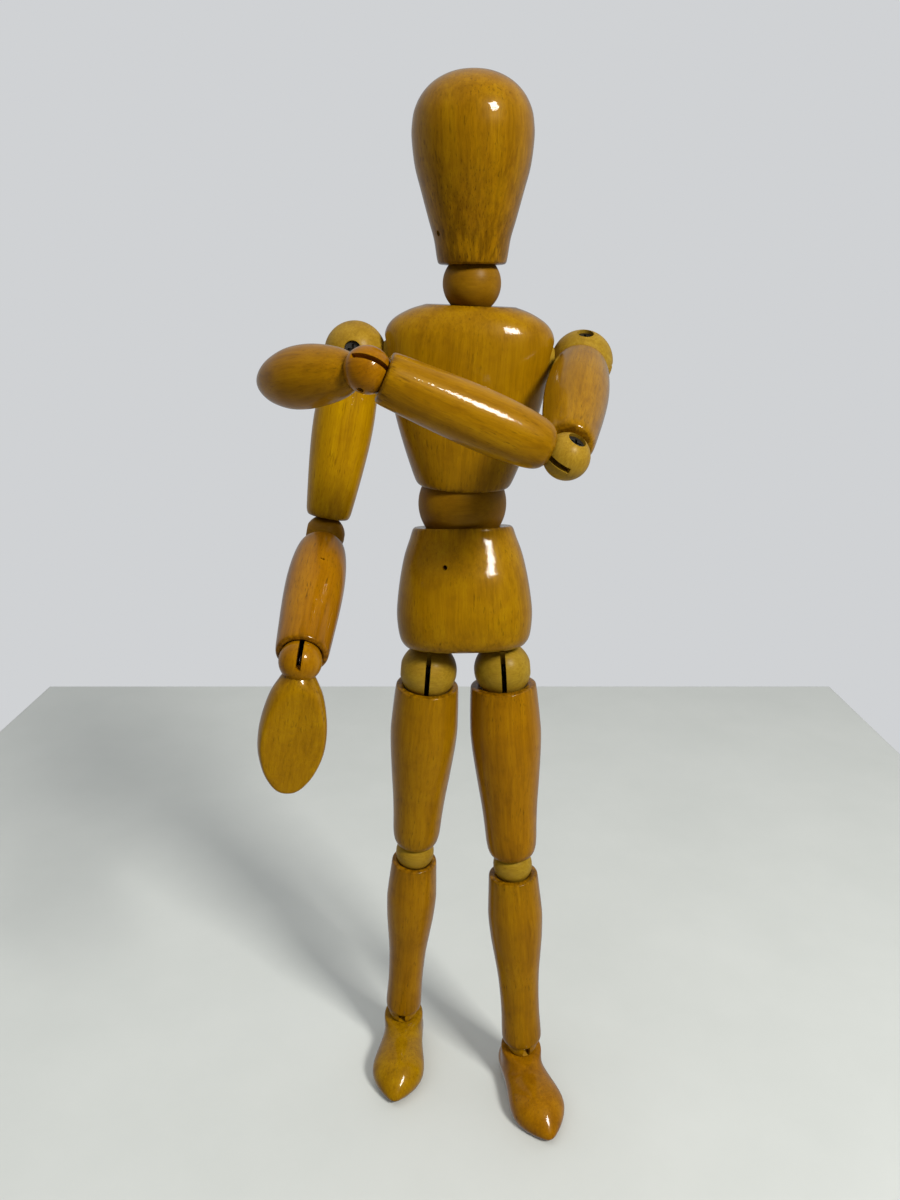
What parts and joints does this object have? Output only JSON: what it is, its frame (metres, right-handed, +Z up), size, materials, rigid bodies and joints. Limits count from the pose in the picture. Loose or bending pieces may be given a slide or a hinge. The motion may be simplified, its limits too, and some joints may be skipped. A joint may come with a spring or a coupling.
{
  "type": "artist mannequin",
  "caption": "Jointed lacquered wooden figure with slotted ball joints, cross screws and inner wire springs, posed standing with one forearm across the chest.",
  "frame": {"origin": "on the floor plane, below the middle of the bounding box of the figure as posed in the picture", "axes": "+Z up, the figure faces -Y, its own left side is +X"},
  "size_m": [0.0906, 0.0725, 0.2995],
  "materials": {
    "lacquered_wood": "gloss",
    "bare_wood": "satin",
    "steel": "satin"
  },
  "bodies": {
    "pelvis": {"pelvis": "lacquered_wood", "pelvis_nail": "steel", "hip_pin": "steel", "waist_spring": "steel", "hip_spring_right": "steel", "hip_spring_left": "steel"},
    "waist_ball": {"waist_ball": "bare_wood"},
    "chest": {"chest": "lacquered_wood", "chest_nails": "steel", "shoulder_spring": "steel", "neck_spring": "steel"},
    "neck_ball": {"neck_ball": "bare_wood"},
    "head": {"head": "lacquered_wood", "head_nail": "steel"},
    "shoulder_ball_right": {"shoulder_ball_right": "bare_wood", "shoulder_screw_right": "steel"},
    "upper_arm_right": {"upper_arm_right": "lacquered_wood", "upper_arm_spring_right": "steel"},
    "elbow_ball_right": {"elbow_ball_right": "bare_wood", "elbow_screw_right": "steel"},
    "forearm_right": {"forearm_right": "lacquered_wood"},
    "forearm_spring_right": {"forearm_spring_right": "steel"},
    "hand_right": {"hand_right": "lacquered_wood", "wrist_ball_right": "lacquered_wood", "wrist_pin_right": "steel"},
    "hip_ball_right": {"hip_ball_right": "bare_wood", "hip_screw_right": "steel"},
    "thigh_right": {"thigh_right": "lacquered_wood", "thigh_spring_right": "steel"},
    "knee_ball_right": {"knee_ball_right": "bare_wood", "knee_pin_right": "steel"},
    "shin_right": {"shin_right": "lacquered_wood"},
    "shin_spring_right": {"shin_spring_right": "steel"},
    "foot_right": {"foot_right": "lacquered_wood", "ankle_ball_right": "lacquered_wood", "ankle_pin_right": "steel"},
    "shoulder_ball_left": {"shoulder_ball_left": "bare_wood", "shoulder_screw_left": "steel"},
    "upper_arm_left": {"upper_arm_left": "lacquered_wood", "upper_arm_spring_left": "steel"},
    "elbow_ball_left": {"elbow_ball_left": "bare_wood", "elbow_screw_left": "steel"},
    "forearm_left": {"forearm_left": "lacquered_wood"},
    "forearm_spring_left": {"forearm_spring_left": "steel"},
    "hand_left": {"hand_left": "lacquered_wood", "wrist_ball_left": "lacquered_wood", "wrist_pin_left": "steel"},
    "hip_ball_left": {"hip_ball_left": "bare_wood", "hip_screw_left": "steel"},
    "thigh_left": {"thigh_left": "lacquered_wood", "thigh_spring_left": "steel"},
    "knee_ball_left": {"knee_ball_left": "bare_wood", "knee_pin_left": "steel"},
    "shin_left": {"shin_left": "lacquered_wood"},
    "shin_spring_left": {"shin_spring_left": "steel"},
    "foot_left": {"foot_left": "lacquered_wood", "ankle_ball_left": "lacquered_wood", "ankle_pin_left": "steel"}
  },
  "joints": [
    {"name": "waist_turn", "type": "hinge", "parent": "pelvis", "child": "waist_ball", "pos_m": [0.0053, 0.02256, 0.19112], "axis": [-0.0207, 0.1564, 0.9875], "range_deg": [-60, 60]},
    {"name": "waist_bend", "type": "hinge", "parent": "waist_ball", "child": "chest", "pos_m": [0.0053, 0.02256, 0.19112], "axis": [0.9998, 0, 0.0209], "range_deg": [-25, 25], "deforming": ["waist_spring"]},
    {"name": "neck_turn", "type": "hinge", "parent": "chest", "child": "neck_ball", "pos_m": [0.00756, 0.0205, 0.25005], "axis": [0.0384, -0.0349, 0.9987], "range_deg": [-90, 90]},
    {"name": "neck_nod", "type": "hinge", "parent": "neck_ball", "child": "head", "pos_m": [0.00756, 0.0205, 0.25005], "axis": [0.9993, 0, -0.0384], "range_deg": [-30, 30], "deforming": ["neck_spring"]},
    {"name": "shoulder_swing_right", "type": "hinge", "parent": "chest", "child": "shoulder_ball_right", "pos_m": [-0.02373, 0.02115, 0.23255], "axis": [-0.9993, 0, 0.0384], "range_deg": [-120, 30], "deforming": ["shoulder_spring"]},
    {"name": "shoulder_raise_right", "type": "hinge", "parent": "shoulder_ball_right", "child": "upper_arm_right", "pos_m": [-0.02373, 0.02115, 0.23255], "axis": [-0.0053, 0.9903, -0.1391], "range_deg": [-4, 95]},
    {"name": "elbow_turn_right", "type": "hinge", "parent": "upper_arm_right", "child": "elbow_ball_right", "pos_m": [-0.03299, 0.01427, 0.1839], "axis": [-0.1853, -0.1376, -0.973], "range_deg": [-45, 90], "deforming": ["upper_arm_spring_right"]},
    {"name": "elbow_bend_right", "type": "hinge", "parent": "elbow_ball_right", "child": "forearm_right", "pos_m": [-0.03299, 0.01427, 0.1839], "axis": [-0.9776, -0.0744, 0.1967], "range_deg": [-57, 30]},
    {"name": "wrist_turn_right", "type": "hinge", "parent": "forearm_right", "child": "forearm_spring_right", "pos_m": [-0.03376, -0.03017, 0.16327], "axis": [0.0156, 0.907, 0.4209], "range_deg": [-90, 90], "deforming": ["forearm_spring_right"]},
    {"name": "wrist_bend_right", "type": "hinge", "parent": "forearm_spring_right", "child": "hand_right", "pos_m": [-0.03376, -0.03017, 0.16327], "axis": [-0.9886, -0.049, 0.1423], "range_deg": [0, 120]},
    {"name": "hip_turn_right", "type": "hinge", "parent": "pelvis", "child": "hip_ball_right", "pos_m": [-0.0045, 0.015, 0.1432], "axis": [-0.0787, -0.1557, -0.9847], "range_deg": [-15, 45], "deforming": ["hip_spring_right"]},
    {"name": "hip_swing_right", "type": "hinge", "parent": "hip_ball_right", "child": "thigh_right", "pos_m": [-0.0045, 0.015, 0.1432], "axis": [-0.9969, 0.0155, 0.0772], "range_deg": [-25, 70]},
    {"name": "knee_turn_right", "type": "hinge", "parent": "thigh_right", "child": "knee_ball_right", "pos_m": [-0.00934, 0.02018, 0.0796], "axis": [-0.0757, 0.081, -0.9938], "range_deg": [-15, 45], "deforming": ["thigh_spring_right"]},
    {"name": "knee_bend_right", "type": "hinge", "parent": "knee_ball_right", "child": "shin_right", "pos_m": [-0.00934, 0.02018, 0.0796], "axis": [0.9969, -0.0155, -0.0772], "range_deg": [0, 55]},
    {"name": "ankle_turn_right", "type": "hinge", "parent": "shin_right", "child": "shin_spring_right", "pos_m": [-0.01427, 0.02544, 0.015], "axis": [-0.0757, 0.081, -0.9938], "range_deg": [-15, 45], "deforming": ["shin_spring_right"]},
    {"name": "ankle_bend_right", "type": "hinge", "parent": "shin_spring_right", "child": "foot_right", "pos_m": [-0.01427, 0.02544, 0.015], "axis": [-0.9976, 0.0698, 0], "range_deg": [-24, 24]},
    {"name": "shoulder_swing_left", "type": "hinge", "parent": "chest", "child": "shoulder_ball_left", "pos_m": [0.03742, 0.02115, 0.2302], "axis": [-0.9993, 0, 0.0384], "range_deg": [-45, 50], "deforming": ["shoulder_spring"]},
    {"name": "shoulder_raise_left", "type": "hinge", "parent": "shoulder_ball_left", "child": "upper_arm_left", "pos_m": [0.03742, 0.02115, 0.2302], "axis": [0.0352, -0.3987, 0.9164], "range_deg": [-1, 90]},
    {"name": "elbow_turn_left", "type": "hinge", "parent": "upper_arm_left", "child": "elbow_ball_left", "pos_m": [0.02842, -0.02407, 0.21086], "axis": [0.18, 0.9045, 0.3867], "range_deg": [-20, 110], "deforming": ["upper_arm_spring_left"]},
    {"name": "elbow_bend_left", "type": "hinge", "parent": "elbow_ball_left", "child": "forearm_left", "pos_m": [0.02842, -0.02407, 0.21086], "axis": [-0.4165, 0.4262, -0.803], "range_deg": [-82, 4]},
    {"name": "wrist_turn_left", "type": "hinge", "parent": "forearm_left", "child": "forearm_spring_left", "pos_m": [-0.01602, -0.03066, 0.23042], "axis": [0.907, 0.1344, -0.3991], "range_deg": [-90, 90], "deforming": ["forearm_spring_left"]},
    {"name": "wrist_bend_left", "type": "hinge", "parent": "forearm_spring_left", "child": "hand_left", "pos_m": [-0.01602, -0.03066, 0.23042], "axis": [0.2621, 0.5616, 0.7848], "range_deg": [-12, 110]},
    {"name": "hip_turn_left", "type": "hinge", "parent": "pelvis", "child": "hip_ball_left", "pos_m": [0.0171, 0.015, 0.14366], "axis": [-0.0643, 0.1563, 0.9856], "range_deg": [-15, 45], "deforming": ["hip_spring_left"]},
    {"name": "hip_swing_left", "type": "hinge", "parent": "hip_ball_left", "child": "thigh_left", "pos_m": [0.0171, 0.015, 0.14366], "axis": [-0.9979, -0.0068, -0.064], "range_deg": [-25, 70]},
    {"name": "knee_turn_left", "type": "hinge", "parent": "thigh_left", "child": "knee_ball_left", "pos_m": [0.02121, 0.01266, 0.07983], "axis": [-0.0642, 0.0365, 0.9973], "range_deg": [-15, 45], "deforming": ["thigh_spring_left"]},
    {"name": "knee_bend_left", "type": "hinge", "parent": "knee_ball_left", "child": "shin_left", "pos_m": [0.02121, 0.01266, 0.07983], "axis": [0.9979, 0.0068, 0.064], "range_deg": [0, 55]},
    {"name": "ankle_turn_left", "type": "hinge", "parent": "shin_left", "child": "shin_spring_left", "pos_m": [0.02538, 0.01029, 0.015], "axis": [-0.0642, 0.0365, 0.9973], "range_deg": [-15, 45], "deforming": ["shin_spring_left"]},
    {"name": "ankle_bend_left", "type": "hinge", "parent": "shin_spring_left", "child": "foot_left", "pos_m": [0.02538, 0.01029, 0.015], "axis": [-0.9659, -0.2588, 0], "range_deg": [-17, 24]}
  ]
}
